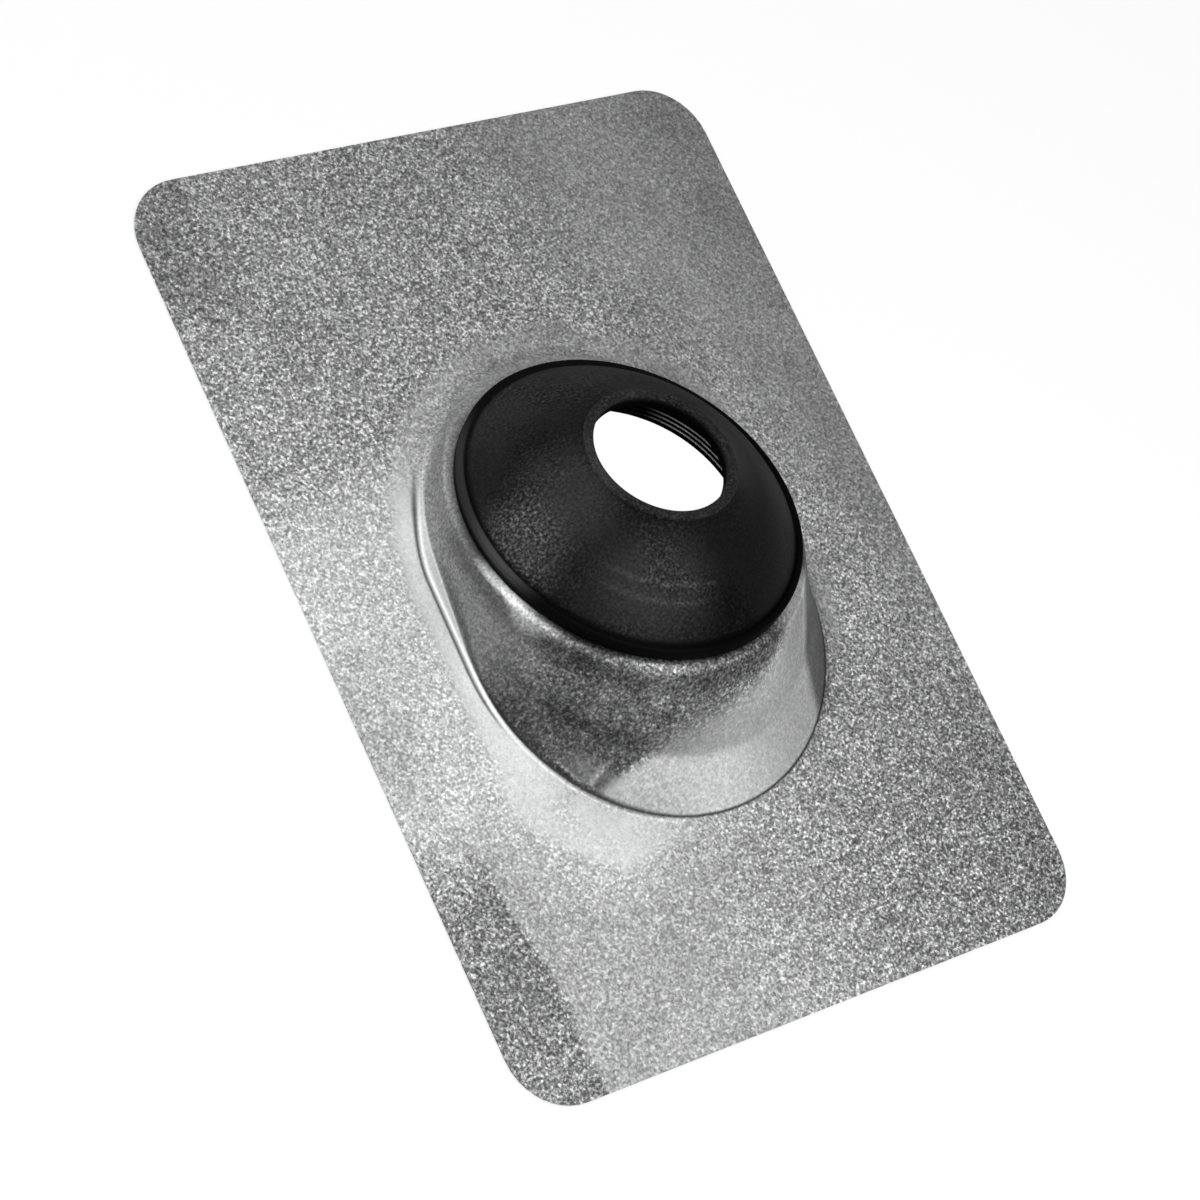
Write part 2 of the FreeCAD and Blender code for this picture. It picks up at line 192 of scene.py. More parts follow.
corners = np.stack(
    [
        leaned_ring(turn, flange_opening, neck_height),
        leaned_ring(turn, neck_radius, neck_height),
        leaned_ring(turn, neck_radius, 0.0),
        shoulder,
        knee,
        foot,
        ledge,
        ledge_foot,
        slot_ring(turn, ledge_back, ledge_front, sheet, grow=flat_margin),
        plate_ring(turn, sheet),
    ],
    axis=1,
)
neck_round, neck_foot_round = 0.0010, 0.0004
shoulder_round = 0.0032 + 0.0028 * downslope
knee_round = 0.0130
foot_round = 0.0007 + 0.0060 * (1 - crisp)
ledge_round, ledge_foot_round = 0.0009, 0.0005
bend_radii = [0, neck_round, neck_foot_round, shoulder_round, knee_round]
bend_radii += [foot_round, ledge_round, ledge_foot_round, 0, 0]
surface = rounded_path(corners, bend_radii, cuts=[3, 2, 2, 12, 20, 4, 2, 3, 26])


def press_pucker(points):
    """Raise the small pucker where the press caught the metal at one spot of the hood's foot.

    It has one fold straight up the flare, a hollow beside that, and one fold low along the foot.
    """
    pucker = np.array([-0.0482, -0.0694])
    fold_height, fold_width = 0.0010, 0.0011
    straight_length, low_length = 0.0085, 0.013
    hollow_middle, hollow_width, hollow_length = 0.0048, 0.0028, 0.0080
    from_disc = pucker - [0, foot_front[0]]
    outward = from_disc / np.linalg.norm(from_disc)
    offset = points[..., :2] - pucker
    along = offset @ np.array([-outward[1], outward[0]])
    inward = -(offset @ outward) - along**2 / (2 * foot_front[1])
    held = smooth_step(points[..., 2], ledge_top, ledge_top + 0.0006)
    held *= smooth_step(inward, 0.0, 0.001) * (1 - smooth_step(inward, 0.012, 0.016))
    beside = along - 0.2 * inward
    straight = np.exp(-((beside / fold_width) ** 2) - (inward / straight_length) ** 2)
    hollow_share = ((beside - hollow_middle) / hollow_width) ** 2
    hollow = np.exp(-hollow_share - (inward / hollow_length) ** 2)
    off_low_fold = (inward + 0.12 * along) / fold_width
    low = np.exp(-(off_low_fold**2) - (along / low_length) ** 2) * (along < 0)
    lift = fold_height * held * (straight + low - 0.8 * hollow)
    points[..., :2] += lift[..., None] * outward * 0.6
    points[..., 2] += lift * 0.8


press_pucker(surface)
base = grid_mesh("galvanised_base_sheet", surface)
thickness = base.modifiers.new("Thickness", "SOLIDIFY")
thickness.thickness = sheet
thickness.offset = -1
thickness.use_even_offset = True
bake_modifiers(base, sharp_from=50)


class Wire:
    """A node's socket that takes part in sums; each sum adds the Math node that works it out."""

    def __init__(self, tree, socket=None):
        self.tree = tree
        self.socket = socket

    def make(self, kind, output=0, settings=None, **inputs):
        """Put a node in the tree, set it up, feed its sockets, and give back one of its outputs."""
        node = self.tree.nodes.new(kind)
        for name, value in (settings or {}).items():
            setattr(node, name, value)
        for name, value in inputs.items():
            socket = node.inputs[int(name[1:]) if name[0] == "_" else name.replace("_", " ")]
            if isinstance(value, Wire):
                self.tree.links.new(value.socket, socket)
            else:
                socket.default_value = value
        return Wire(self.tree, node.outputs[output])

    def add(self, kind, **rest):
        """A node of the kinds that shaders and geometry share."""
        return self.make("ShaderNode" + kind, **rest)

    def sum(self, operation, first, second, clamp=False):
        """A Math node on two values."""
        settings = {"operation": operation, "use_clamp": clamp}
        return self.add("Math", settings=settings, _0=first, _1=second)

    def vector(self, operation, *others):
        """A Vector Math node on this vector; those that measure give a number."""
        output = "Value" if operation in ("LENGTH", "DOT_PRODUCT", "DISTANCE") else "Vector"
        inputs = {f"_{place}": other for place, other in enumerate(others, start=1)}
        return self.add("VectorMath", output=output, settings={"operation": operation}, _0=self, **inputs)

    def __add__(self, other):
        return self.sum("ADD", self, other)

    def __radd__(self, other):
        return self.sum("ADD", other, self)

    def __sub__(self, other):
        return self.sum("SUBTRACT", self, other)

    def __rsub__(self, other):
        return self.sum("SUBTRACT", other, self)

    def __mul__(self, other):
        return self.sum("MULTIPLY", self, other)

    def __rmul__(self, other):
        return self.sum("MULTIPLY", other, self)

    def __truediv__(self, other):
        return self.sum("DIVIDE", self, other)

    def __pow__(self, other):
        return self.sum("POWER", self, other)

    def clamped(self):
        """The value held between 0 and 1."""
        return self.sum("ADD", self, 0.0, clamp=True)

    def at_least(self, low):
        """The value, or low where the value is less."""
        return self.sum("MAXIMUM", self, low)

    def exponent(self):
        """e to the power of the value."""
        return self.sum("EXPONENT", self, 0.0)

    def axis(self, name):
        """One component of the vector."""
        return self.add("SeparateXYZ", output=name, Vector=self)

    def rise(self, low, high):
        """0 below low, 1 above high, and a smooth rise between."""
        settings = {"interpolation_type": "SMOOTHSTEP"}
        return self.add("MapRange", settings=settings, Value=self, From_Min=low, From_Max=high)

    def ridge(self, middle, width):
        """1 at the middle, falling to 0 this far to either side."""
        away = self - middle
        return 1 - away.sum("ABSOLUTE", away, 0.0).rise(0.0, width)

    def noise(self, scale, detail=2.0):
        """Noise from 0 to 1 at this many cycles a metre."""
        return self.add("TexNoise", Vector=self, Scale=scale, Detail=detail)


def new_material(name):
    """An empty material with its surface shader, and a wire to start its nodes from."""
    material = bpy.data.materials.new(name)
    material.use_nodes = True
    tree = material.node_tree
    shader = tree.nodes["Principled BSDF"]
    return material, shader, Wire(tree)


def paint(piece, material):
    """Give the piece this one material."""
    piece.data.materials.clear()
    piece.data.materials.append(material)


def feed(shader, **inputs):
    """Link or set the shader's own sockets."""
    for name, value in inputs.items():
        socket = shader.inputs[name.replace("_", " ")]
        if isinstance(value, Wire):
            value.tree.links.new(value.socket, socket)
        else:
            socket.default_value = value


# Hot-dip galvanising: a fine dull spangle of zinc grains. The zinc is milky and smoother in a broad patch
# left of the hood, smoother on the flare, and smeared smooth where the press stretched the sheet round
# the hood. Painted reflection gives the broad
# tones: lighter over the milky patch, on the flare and round the hood, darker on the steep wall and in
# strips along two corners;
# painted highlights and painted shade mark the hood's folds, ledge and crease. Its lengths are
# millimetres.
galvanised, shader, start = new_material("hot_dip_galvanised")
place = start.add("TexCoord", output="Object")
x, y, z = (place.axis(name) * 1000 for name in "XYZ")
left, down = 0 - x, 0 - y
wander = place.noise(45.0, detail=3.0) - 0.5
cloud = place.noise(22.0, detail=3.0) - 0.5

# The hood's middle line runs along Y, and its foot and ledge lie these radii out from it.
line_low, line_high = -22.5, 8.0
foot_radius, foot_narrowing, foot_aside = 67.4, 0.1115, 0.112
ledge_radius, ledge_narrowing = 68.3, 0.013
shoulder_y, shoulder_z = 8.7, 17.7
lean_sine, lean_cosine = 0.225, 0.974


def from_line(shift):
    """Distance from the hood's middle line, and where along Y the nearest point of it lies."""
    nearest = y.sum("MINIMUM", (y - shift).at_least(line_low), line_high)
    return (x * x + (y - nearest) * (y - nearest)) ** 0.5, nearest


aside = x.sum("ABSOLUTE", x, 0.0)
from_middle, middle_eye = from_line(0.0)
past_ledge = from_middle - ledge_radius + (middle_eye - line_low) * ledge_narrowing
past_ledge = past_ledge + y.rise(8.0, 36.0) * 2.0
to_foot, foot_eye = from_line(aside * foot_aside)
from_foot = to_foot - foot_radius + (foot_eye - line_low) * foot_narrowing
on_hood = 1 - from_foot.rise(-0.35, 0.25)
beyond_flare = down.rise(35.0, 60.0) * (x + 55).rise(0.0, 20.0)
round_hood = (1 - (from_middle + wander * 10).rise(72.0, 80.0)) * (1 - beyond_flare)
below_shoulder = (shoulder_y - y) * lean_sine + (shoulder_z - z) * lean_cosine

# Where the zinc is milky and a painted reflection lightens it, two strips that a painted reflection
# darkens, and a painted highlight (halo) round the hood's left foot.
left_sheen_patch = (1 - (y + wander * 30).rise(25.0, 62.0)) * (1 - (x + wander * 16).rise(-64.0, -44.0))
low_sheen_patch = (down + wander * 16).rise(62.0, 84.0)
low_sheen_patch = low_sheen_patch * (1 - (x + y * 0.25 + wander * 40).rise(-62.0, 36.0))
sheen_patch = left_sheen_patch.at_least(low_sheen_patch)
strip_slant = (y + 126).at_least(0.0) * 0.16
dark_corner_reflection = 1 - (x + strip_slant + wander * 9).rise(-88.0, -85.0)
dark_corner_reflection = dark_corner_reflection * (down + wander * 30).rise(62.0, 92.0)
dark_top_reflection = (1 - (x + wander * 12).rise(-98.0, -84.0)) * (y + wander * 20).rise(100.0, 125.0)
milky_sheen = (sheen_patch * (1 - dark_corner_reflection * 0.8)).clamped()
halo_growth = left.rise(22.0, 50.0) * down.rise(30.0, 75.0) * 15
halo_highlight = 1 - (from_middle + wander * 8 - halo_growth).rise(71.0, 77.0)
halo_highlight = halo_highlight * sheen_patch * left.rise(0.0, 36.0)

# The spangle: round grains a little under a millimetre across.
cell = place.add("TexVoronoi", output="Color", Vector=place, Scale=1250.0)
grain = cell.add("SeparateColor", Color=cell)
pepper = (place.noise(1080.0) - 0.5) * 2.8 + (grain - 0.5) * 0.9
calm = (x + y * 0.5).rise(60.0, 125.0) * 0.55 + milky_sheen * 0.55 + round_hood * 0.5 + halo_highlight * 0.4
lively = down.rise(70.0, 130.0) * x.rise(-50.0, 10.0) * 0.3 + dark_corner_reflection * 0.2
speckle = pepper * (1.5 + lively - calm.clamped() * 1.35)

# The flat sheet's tone, with painted reflection: lighter round the hood but darker behind it, darker
# along the left edge and towards the front and the right, and three broad patches, each given by its
# middle and width in X and in Y and by how much lighter it is.
plate_tone = 0.36 + cloud * 0.14 + wander * 0.10 + milky_sheen * 0.22 + halo_highlight * 0.15
behind_hood = y.rise(20.0, 50.0) * (x + 40).rise(0.0, 40.0)
plate_tone = plate_tone + round_hood * 0.06 * (1 - behind_hood * 2)
plate_tone = plate_tone - dark_corner_reflection * 0.11 - dark_top_reflection * 0.08
reflected_tone = 1 - left.rise(86.0, 106.0) * y.ridge(-32.0, 36.0) * 0.24
for middle_x, width_x, middle_y, width_y, lighter in [
    (-48.0, 34.0, -96.0, 22.0, 0.16),
    (-90.0, 15.0, -86.0, 26.0, -0.22),
    (78.0, 28.0, -70.0, 26.0, -0.20),
]:
    reflected_tone = reflected_tone + x.ridge(middle_x, width_x) * y.ridge(middle_y, width_y) * lighter
plate_tone = plate_tone * reflected_tone
plate_tone = plate_tone * (1 - 0.30 * down.rise(55.0, 120.0)) * (1 - 0.15 * x.rise(75.0, 110.0))
plate = plate_tone * 0.93 * speckle.exponent()

# The low ledge: a painted highlight along its rounded edge, painted shade on the step outside it and in
# the crease at the hood's foot, and painted shade beside the foot on the right.
pressed = (1 - y.rise(32.0, 50.0)) * (1 - x.rise(25.0, 45.0)) * y.rise(-50.0, -32.0)
step_shade = past_ledge.ridge(1.0, 1.0 + y.rise(15.0, 40.0) * 0.9) * pressed
on_ledge = from_foot.rise(0.0, 0.4) * (1 - past_ledge.rise(0.0, 0.6))
ledge_highlight = (on_ledge * 0.08 + past_ledge.ridge(-0.4, 1.0) * 0.24) * pressed
by_pucker = x.ridge(-40.0, 24.0) * down.rise(40.0, 56.0)
crease_shade = from_foot.ridge(-0.2, 1.0 + by_pucker) * (1 - y.rise(0.0, 22.0))
crease_shade = crease_shade * (0.6 + down.rise(20.0, 50.0) * 0.4)
right_foot_shade = (1 - from_foot.rise(0.0, 14.0)) * x.rise(35.0, 55.0) * (1 - down.rise(60.0, 85.0))
plate = plate * (1 - step_shade * 0.85) * (1 - right_foot_shade * 0.34) + ledge_highlight

# Where a point lies by the pucker: along the foot to the right of it, in from the foot, and how far
# right of its straight fold.
pucker_x, pucker_y = x + 48.2, y + 69.4
along = pucker_x * 0.697 - pucker_y * 0.717
inward = pucker_x * 0.717 + pucker_y * 0.697 - along * along * 0.0074
beside = along - inward * 0.2
before = 0 - along

# The hood: a painted reflection makes the flare bright, cut back in the pucker's hollow, and it is plain
# at the back; painted shade lies past the fold on its right flank, with a painted highlight along the
# fold.
flare_top = x.rise(-50.0, -31.0) * 13.5 + x.rise(-40.0, 4.0) * 12.0 + x.rise(10.0, 40.0) * 13.0 - 4.6
flare_blur = 3.4 + x.rise(-38.0, -12.0) * 2.0
flare_sheen = ((flare_top - z + wander * 7) / flare_blur).rise(-1.0, 1.0) * down.rise(18.0, 34.0)
hollow = (1 - (beside - inward * 0.45).rise(0.2, 6.4)) * (1 - inward.rise(14.0, 24.0))
flare_sheen = flare_sheen * (1 - hollow)
past_fold_shade = (x + wander * 5).rise(44.5, 50.0) * down.rise(-10.0, 20.0)
past_fold_shade = past_fold_shade * (1 - down.rise(64.0, 84.0) * 0.7)
fold_highlight = (x + wander * 2).ridge(43.5, 1.8) * down.rise(24.0, 36.0) * (1 - down.rise(44.0, 58.0))

# Where the shoulder turns over: a painted highlight on the left and a thin one by the collar's rim, a
# mottled painted highlight in front, and painted shade elsewhere.
at_shoulder = below_shoulder + wander * 5
turn_spread = 1.4 + y.ridge(-19.0, 13.0) * 5
left_turn_highlight = (1 - (at_shoulder / turn_spread).rise(0.3, 1.0)) * left.rise(44.0, 52.0)
left_turn_highlight = left_turn_highlight * down.rise(-1.0, 9.0) * (1 - down.rise(18.0, 30.0))
front_turn_highlight = (1 - at_shoulder.rise(6.0, 16.0)) * (x + wander * 20).ridge(-20.0, 16.0)
rim_highlight = (1 - below_shoulder.rise(0.2, 1.4)) * left.rise(36.0, 48.0)
rim_highlight = rim_highlight * down.rise(-9.0, 0.0) * (1 - down.rise(10.0, 20.0))
turn_shade = (1 - at_shoulder.rise(4.0, 10.0)) * (1 - left_turn_highlight)
turn_shade = turn_shade * (1 - front_turn_highlight * 0.4) * (1 - y.rise(10.0, 34.0))

# The wall's and the flare's tones, with streaks drawn out up the wall. Painted reflection makes the front
# darker, the right and back lighter, and the flare lighter to the right but darker at its upper right; a
# painted highlight runs down the left ridge, and painted shade darkens the low front by the foot.
squashed = place.vector("MULTIPLY", (1.0, 1.0, 0.3))
streaks = squashed.noise(620.0, detail=3.0) - 0.5
blotch = squashed.noise(90.0, detail=3.0) - 0.5
front = (down + (x + 50) * 0.5).rise(8.0, 40.0)
low_front_shade = (1 - z.rise(8.0, 17.0)) * down.rise(10.0, 45.0)
low_front_shade = low_front_shade * (1 - x.rise(-34.0, -12.0)) * (1 - flare_sheen)
left_ridge_highlight = (x + y * 0.06).ridge(-58.5, 3.5) * down.rise(-20.0, 10.0)
wall_tone = 0.27 + x.rise(-25.0, 15.0) * 0.06 - front * 0.07 + y.rise(0.0, 30.0) * 0.03
wall_tone = (wall_tone + left_ridge_highlight * 0.06) * (1 - low_front_shade * 0.72)
wall_tone = wall_tone * (1 + blotch * 1.3 * front + streaks * (0.5 + 1.3 * front))
wall_tone = wall_tone * (1 - turn_shade * 0.5) + left_turn_highlight * 0.18 + front_turn_highlight * 0.07 + rim_highlight * 0.45
flare_tone = 0.38 + x.rise(-34.0, 10.0) * 0.28 + streaks * 0.30
flare_tone = flare_tone - z.rise(13.0, 25.0) * x.rise(20.0, 34.0) * 0.20
hood = wall_tone * (1 - flare_sheen) + flare_tone * flare_sheen

# The pucker: painted highlights on its two folds, and the metal between them smooth and painted lighter.
upright_fold_highlight = beside.ridge(0.3, 2.4) * inward.rise(0.2, 1.0) * (1 - inward.rise(5.0, 12.0))
off_low_fold = inward + along * 0.12
low_fold_highlight = off_low_fold.ridge(0.6, 0.9) * before.rise(-1.0, 1.0) * (1 - before.rise(8.0, 15.0))
smooth_lit_between = off_low_fold.rise(0.4, 1.2) * (1 - before.rise(6.0, 14.0))
smooth_lit_between = smooth_lit_between * (1 - along.rise(7.0, 12.0)) * (1 - inward.rise(6.0, 10.0))
hood = hood + upright_fold_highlight * 0.12 + low_fold_highlight * 0.08 + smooth_lit_between * (1 - flare_sheen) * 0.055
grit = pepper * (0.5 + front * 0.9 - flare_sheen * 1.1 - smooth_lit_between * 0.9)
hood = hood * grit.exponent()
hood = hood * (1 - past_fold_shade * 0.74) + fold_highlight * 0.14
# Painted shade in the crease at the hood's foot.
hood = hood * (1 - crease_shade * 0.92)

darkest = 0.03
# The sheet and the hood together, the sheet also with painted shade in the crease.
tone = plate * (1 - on_hood) * (1 - crease_shade * 0.75) + hood * on_hood
tone = tone.at_least(darkest)
height = pepper * (1 - on_hood) + streaks * on_hood
feed(
    shader,
    Base_Color=tone.add("CombineColor", Red=tone, Green=tone * 1.003, Blue=tone * 1.01),
    Metallic=0.85 - 0.35 * (round_hood * y.rise(0.0, 30.0)) - 0.15 * milky_sheen - 0.5 * rim_highlight,
    Roughness=(0.40 + milky_sheen * 0.10 - pepper * 0.05).clamped(),
    Normal=height.add("Bump", Height=height, Strength=0.10, Distance=0.0002),
)
paint(base, galvanised)
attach(base, "root")
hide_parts("galvanised_base")


# The rubber collar: one moulding of black rubber, turned about the pipe's line and pressed on by hand. A
# band stands round the hood's neck, a groove runs inside it, a dome narrows to a beaded lip round the
# pipe, and a ribbed ring below is slotted onto the sheet's flange.
collar_radius = 0.0587
band_bottom, band_top = 0.0003, 0.0051
band_inner = 0.0565
band_round = 0.0009
groove_outer, groove_inner, groove_floor = 0.0566, 0.0558, 0.0043
dome_break = (0.0380, 0.0200)
dome_curve, throat_curve = 0.060, 0.075
slope_sine, slope_cosine = 0.47, 0.88
hole_radius = 0.0226
lip_outer = 0.0260
lip_top, bead_foot, bore_end = 0.02967, 0.0280, 0.0247
lip_round = 0.0006
rubber_wall = 0.0030
cavity_inset, cavity_round = 0.0070, 0.0005
grip_inner, grip_outer, grip_top, grip_bottom = 0.0390, 0.0465, 0.0088, 0.00185
slot_floor, slot_bottom = 0.0422, 0.00315
rib_depth, rib_pitch, rib_count = 0.0006, 0.0018, 3
tight, small, soft = 0.0002, 0.0003, 0.0004
turned_segments = 288


def arc_between(start, end, radius, steps):
    """Points inside an arc from start to end, bulging to the right of the way for a positive radius."""
    start, end = np.array(start), np.array(end)
    half = (end - start) / 2
    length = np.linalg.norm(half)
    leftward = np.array([-half[1], half[0]]) / length
    centre = start + half + math.copysign(math.sqrt(radius**2 - length**2), radius) * leftward
    spread = 2 * math.asin(length / abs(radius)) * math.copysign(1, radius)
    arm = start - centre
    points = []
    for angle in np.linspace(0, spread, steps + 1)[1:-1]:
        cosine, sine = math.cos(angle), math.sin(angle)
        across, up = arm[0] * cosine - arm[1] * sine, arm[0] * sine + arm[1] * cosine
        points.append((centre[0] + across, centre[1] + up))
    return points


def plain(points):
    """Corners that stay as they are, each with no rounding."""
    return [(point, 0.0) for point in points]


# The moulding's section as corners, each (radius, height up the pipe) with its rounding.
inner_break = (dome_break[0] - rubber_wall * slope_sine, dome_break[1] - rubber_wall * slope_cosine)
throat_start = (lip_outer, bore_end - lip_round)
cavity = (groove_inner - cavity_inset, grip_top)
rib_foot = grip_inner + rib_depth
profile = [((band_inner, neck_height), 0.0), ((band_inner, band_bottom), small)]
profile += [((collar_radius, band_bottom), band_round), ((collar_radius, band_top), band_round)]
profile += [((groove_outer, band_top), tight), ((groove_outer, groove_floor), tight)]
profile += plain([(groove_inner, band_top)])
profile += plain(arc_between((groove_inner, band_top), dome_break, dome_curve, 22))
profile += plain([dome_break])
profile += plain(arc_between(dome_break, (lip_outer, bead_foot), -throat_curve, 12))
profile += [((lip_outer, bead_foot), lip_round), ((lip_outer, lip_top), lip_round)]
profile += [((hole_radius, lip_top), lip_round), ((hole_radius, bore_end), soft)]
profile += plain([throat_start])
profile += plain(arc_between(throat_start, inner_break, throat_curve + rubber_wall, 10))
profile += plain([inner_break])
profile += plain(arc_between(inner_break, cavity, -(dome_curve - rubber_wall), 16))
profile += [(cavity, cavity_round), ((rib_foot, grip_top), small)]
for rib in range(rib_count):
    rib_height = grip_top - rib_depth * 1.5 - rib_pitch * rib
    profile += [((rib_foot, rib_height + rib_depth), tight)]
    profile += [((grip_inner, rib_height), small)]
    profile += [((rib_foot, rib_height - rib_depth), tight)]
profile += [((rib_foot, grip_bottom), small), ((grip_outer, grip_bottom), soft)]
profile += [((grip_outer, slot_bottom), tight), ((slot_floor, slot_bottom), tight)]
profile += [((slot_floor, neck_height), 0.0), ((band_inner, neck_height), 0.0)]
profile_corners = np.array([[(radius, 0.0, rise) for (radius, rise), _ in profile]])
profile_radii = [rounding for _, rounding in profile]
profile_line = rounded_path(profile_corners, profile_radii, cuts=[1] * (len(profile) - 1), bends=4)[0]

collar_mesh = bpy.data.meshes.new("collar_profile")
links = [(number, number + 1) for number in range(len(profile_line) - 1)]
collar_mesh.from_pydata(profile_line.tolist(), links, [])
collar = bpy.data.objects.new("rubber_collar_moulding", collar_mesh)
bpy.context.scene.collection.objects.link(collar)

# The nodes turn the section about the pipe, raise the mould's faint waves on the dome, fill the rim's
# groove where it runs out behind, and lean the whole onto the neck.
settings_given = {
    "Segments": ("Int", turned_segments),
    "Profile Points": ("Int", len(profile_line)),
    "Pipe Centre": ("Vector", shoulder_centre.tolist()),
    "Pipe Lean": ("Float", lean),
    "Wave Height": ("Float", 0.00012),
    "Wave Pitch": ("Float", 0.0045),
    "Groove Fill": ("Float", 0.0006),
}
first_wave = 0.0423
front_bearing = math.radians(125)
merge_distance = 0.000002
rubber, rubber_shader, rubber_start = new_material("moulded_rubber")
spin = bpy.data.node_groups.new("turn_about_pipe", "GeometryNodeTree")
spin.interface.new_socket("Geometry", in_out="INPUT", socket_type="NodeSocketGeometry")
identifiers = {}
for name, (kind, _) in settings_given.items():
    socket = spin.interface.new_socket(name, in_out="INPUT", socket_type="NodeSocket" + kind)
    identifiers[name] = socket.identifier
spin.interface.new_socket("Geometry", in_out="OUTPUT", socket_type="NodeSocketGeometry")
entry = spin.nodes.new("NodeGroupInput")
leave = spin.nodes.new("NodeGroupOutput")
given = {socket.name: Wire(spin, socket) for socket in entry.outputs if socket.name}
rows = given["Profile Points"]
build = Wire(spin)
grid = build.make("GeometryNodeMeshGrid", Vertices_X=given["Segments"] + 1, Vertices_Y=rows)
index = build.make("GeometryNodeInputIndex")
column = index.sum("FLOOR", index / rows, 0.0)
row = index.sum("MODULO", index, rows)
sample = build.make(
    "GeometryNodeSampleIndex",
    settings={"data_type": "FLOAT_VECTOR", "domain": "POINT"},
    Geometry=given["Geometry"],
    Value=build.make("GeometryNodeInputPosition"),
    Index=row,
)
angle = column * (2 * math.pi) / given["Segments"]
turned = build.add("VectorRotate", settings={"rotation_type": "Z_AXIS"}, Vector=sample, Angle=angle)
radius, rise = sample.axis("X"), sample.axis("Z")
toward_front = angle.sum("COSINE", angle + front_bearing, 0.0)
on_dome = radius.rise(0.0385, 0.0415) * (1 - radius.rise(0.0480, 0.0510)) * rise.rise(0.0095, 0.0105)
ripple = (radius - first_wave) * (2 * math.pi) / given["Wave Pitch"] + math.pi / 2
wave = ripple.sum("SINE", ripple, 0.0) * on_dome * toward_front.rise(0.72, 0.95) * given["Wave Height"]
at_groove = radius.ridge((groove_outer + groove_inner) / 2, 0.0009) * rise.ridge(groove_floor, 0.0006)
filling = at_groove.rise(0.0, 0.3) * (1 - toward_front.rise(-0.25, 0.35)) * given["Groove Fill"]
grown = turned.vector("ADD", build.add("CombineXYZ", Z=wave + filling))
moved = build.make("GeometryNodeSetPosition", Geometry=grid, Position=grown)
closed = build.make("GeometryNodeMergeByDistance", Geometry=moved, Distance=merge_distance)
tilt = build.add("CombineXYZ", X=0 - given["Pipe Lean"])
placed = build.make(
    "GeometryNodeTransform", Geometry=closed, Translation=given["Pipe Centre"], Rotation=tilt
)
real = build.make("GeometryNodeRealizeInstances", Geometry=placed)
coated = build.make("GeometryNodeSetMaterial", Geometry=real, Material=rubber)
spin.links.new(coated.socket, leave.inputs["Geometry"])
turning = collar.modifiers.new("Turned", "NODES")
turning.node_group = spin
for name, (_, value) in settings_given.items():
    turning[identifiers[name]] = value
bake_modifiers(collar, sharp_from=40)

# Black moulded rubber: satin, with patches where the mould's rough skin printed a fine pepper, painted
# highlights on the left, on top, in front, along the dome's faint waves and on the lip, and painted shade
# in the groove, on the band and inside. Its lengths are metres.
rubber_place = rubber_start.add("TexCoord", output="Object")
right, back = rubber_place.axis("X"), rubber_place.axis("Y")
fine = rubber_place.noise(1100.0, detail=1.0) - 0.5
haze = rubber_place.noise(40.0, detail=3.0).rise(0.42, 0.68)
dark = rubber_place.noise(36.0).rise(0.46, 0.64)
from_centre = rubber_place.vector("SUBTRACT", shoulder_centre.tolist())
from_axis = from_centre.vector("CROSS_PRODUCT", pipe_axis.tolist()).vector("LENGTH")
up_pipe = from_centre.vector("DOT_PRODUCT", pipe_axis.tolist())


def near(spot, reach):
    """1 close to the spot, falling to 0 this far from it."""
    return 1 - rubber_place.vector("DISTANCE", spot).rise(reach * 0.2, reach)


# Painted highlights where light catches the dome on the left, in front and on top, along its faint waves
# in front, and a little towards the back and the left; the pepper prints deeper in the left patch.
lit_left = near((-0.051, 0.004, 0.027), 0.021)
lit_front = near((-0.020, -0.024, 0.042), 0.026)
lit_top = near((-0.034, 0.013, 0.040), 0.024)
lit_arcs = (from_axis.ridge(first_wave, 0.0013) + from_axis.ridge(0.0468, 0.0013)) * lit_front
rubber_sheen = lit_left * 0.034 + lit_front * 0.020 + lit_arcs * 0.016 + lit_top * 0.018
rubber_sheen = rubber_sheen + back.rise(0.030, 0.056) * 0.014 + (0 - right).rise(0.0, 0.045) * 0.006
# A painted highlight on the lip's top.
on_lip = 1 - from_axis.rise(lip_outer, lip_outer + 0.0004)
on_lip = on_lip * up_pipe.rise(bead_foot, lip_top - 0.0004)
black = 0.007 + rubber_sheen - dark * 0.003 + on_lip * 0.012
on_band = from_axis.rise(0.0560, 0.0572)
print_depth = fine * (1.5 + haze * 3.0 + lit_left * 3.0) * (1 - on_band)
black = black * print_depth.exponent()

# Inside the collar: painted shade, apart from the ribs, whose crests get a painted glint on the right.
inside = (1 - (up_pipe + from_axis * 0.667).rise(0.0418, 0.0438)) * (1 - from_axis.rise(0.044, 0.047))
below_grip_top = 1 - up_pipe.rise(grip_top, grip_top + 0.001)
on_rib = (1 - from_axis.rise(grip_inner, grip_inner + rib_depth * 0.7)) * below_grip_top
glint = 1 - from_axis.rise(grip_inner + 0.0002, grip_inner + 0.0004)
glint = glint * below_grip_top * right.rise(0.024, 0.034)
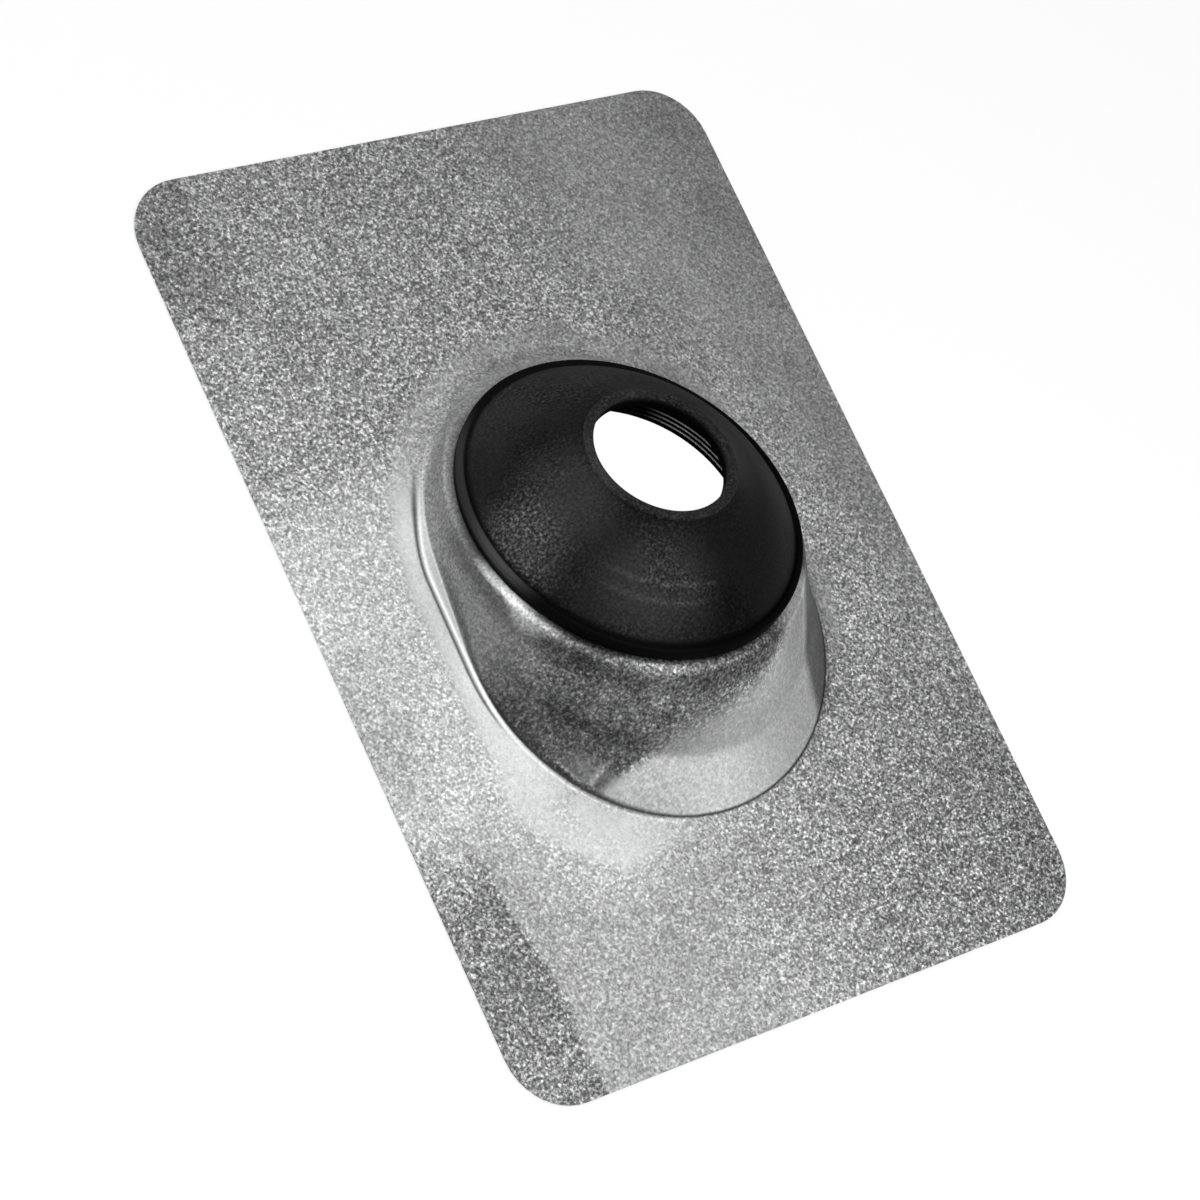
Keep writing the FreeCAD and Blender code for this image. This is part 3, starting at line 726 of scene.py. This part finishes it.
# A painted highlight on the band's top on the left, and painted shade in the groove and on the rest of
# the band's face.
band_highlight = on_band * up_pipe.rise(0.0020, 0.0036)
band_highlight = band_highlight * (0 - right).rise(0.030, 0.052) * back.rise(-0.016, -0.002)
groove_shade = from_axis.ridge(0.0561, 0.0015) * 0.85
black = black * (1 - groove_shade) * (1 - inside * 0.9) * (1 - on_band * (1 - band_highlight) * 0.85)
blackest = 0.0008
black = black.at_least(blackest) + band_highlight * 0.014 + glint * 0.9
feed(
    rubber_shader,
    Base_Color=black.add("CombineColor", Red=black, Green=black, Blue=black),
    Roughness=0.50 + 0.08 * haze - 0.34 * on_rib + 0.40 * (inside * (1 - on_rib)),
    Specular_IOR_Level=0.03,
    Normal=fine.add("Bump", Height=fine, Strength=0.2, Distance=0.0001),
)
paint(collar, rubber)
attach(collar, "root")
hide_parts("rubber_collar")


# The studio's table: a broad sheet of matt white board that the part lies on. To the eye it glows a
# little, so that it is evenly white, and it does so fully where it shows through the pipe's hole.
table_reach, table_height = 4.0, -0.0003
signs = [(-1, -1), (1, -1), (1, 1), (-1, 1)]
table_corners = [(side * table_reach, end * table_reach, table_height) for side, end in signs]
table_mesh = bpy.data.meshes.new("table")
table_mesh.from_pydata(table_corners, [], [(0, 1, 2, 3)])
table = bpy.data.objects.new("table", table_mesh)
bpy.context.scene.collection.objects.link(table)
white, white_shader, table_start = new_material("white_table")
feed(white_shader, Base_Color=(0.95, 0.95, 0.95, 1), Roughness=0.9)
seen, mirrored, passed = (
    table_start.add("LightPath", output=f"Is {kind} Ray") for kind in ("Camera", "Glossy", "Transmission")
)
looked_at = (seen + mirrored + passed).clamped()
from_hood = table_start.add("TexCoord", output="Object").vector("LENGTH")
under_hood = 1 - from_hood.rise(0.055, 0.075)
glow = table_start.add("Emission", Color=(1, 1, 1, 1), Strength=1.0)
lit = Wire(white.node_tree, white_shader.outputs["BSDF"])
mixed = lit.add("MixShader", _0=looked_at * 0.6 + seen * under_hood * 0.4, _1=lit, _2=glow)
white.node_tree.links.new(mixed.socket, white.node_tree.nodes["Material Output"].inputs["Surface"])
paint(table, white)

# The studio's light: a pale world, one broad soft lamp overhead in front of the hood, and two weak ones
# behind and on the left that brighten the wall's edges.
world = bpy.data.worlds.new("studio")
bpy.context.scene.world = world
world.use_nodes = True
background = world.node_tree.nodes["Background"]
background.inputs["Color"].default_value = (1, 1, 1, 1)
background.inputs["Strength"].default_value = 0.33


def soft_lamp(name, place, target, size, power):
    """A round area lamp at place, facing target."""
    lamp = bpy.data.lights.new(name, "AREA")
    lamp.shape = "DISK"
    lamp.size = size
    lamp.energy = power
    holder = bpy.data.objects.new(name, lamp)
    holder.location = place
    holder.rotation_euler = (Vector(target) - Vector(place)).to_track_quat("-Z", "Y").to_euler()
    bpy.context.scene.collection.objects.link(holder)


soft_lamp("overhead", (0.0, -0.45, 1.0), (0, -0.45, 0), 1.9, 14)
soft_lamp("behind", (-0.5, 1.3, 0.55), (0, 0, 0), 0.9, 3)
soft_lamp("left", (-1.0, 0.5, 0.5), (0, 0, 0), 0.7, 2)

# The camera stands where the picture was taken from, about 1.15 m from the part on its left, and looks
# down at 52 degrees through a long lens. Its place, its axes and its lens were fitted to the sheet's
# corners and the collar's rim.
camera_place = Vector((-0.66793, -0.25412, 0.90049))
camera_forward = Vector((0.57553, 0.21234, -0.78973))
camera_up = Vector((0.23025, 0.88456, 0.40564))
camera_right = camera_forward.cross(camera_up)
view = bpy.data.cameras.new("camera")
view.lens = 107.57
view.sensor_width = 36.0
view.clip_end = 20
camera = bpy.data.objects.new("camera", view)
camera.matrix_world = Matrix.Translation(camera_place) @ Matrix(
    (camera_right, camera_up, -camera_forward)
).transposed().to_4x4()
bpy.context.scene.collection.objects.link(camera)
bpy.context.scene.camera = camera
bpy.context.scene.view_settings.view_transform = "Standard"
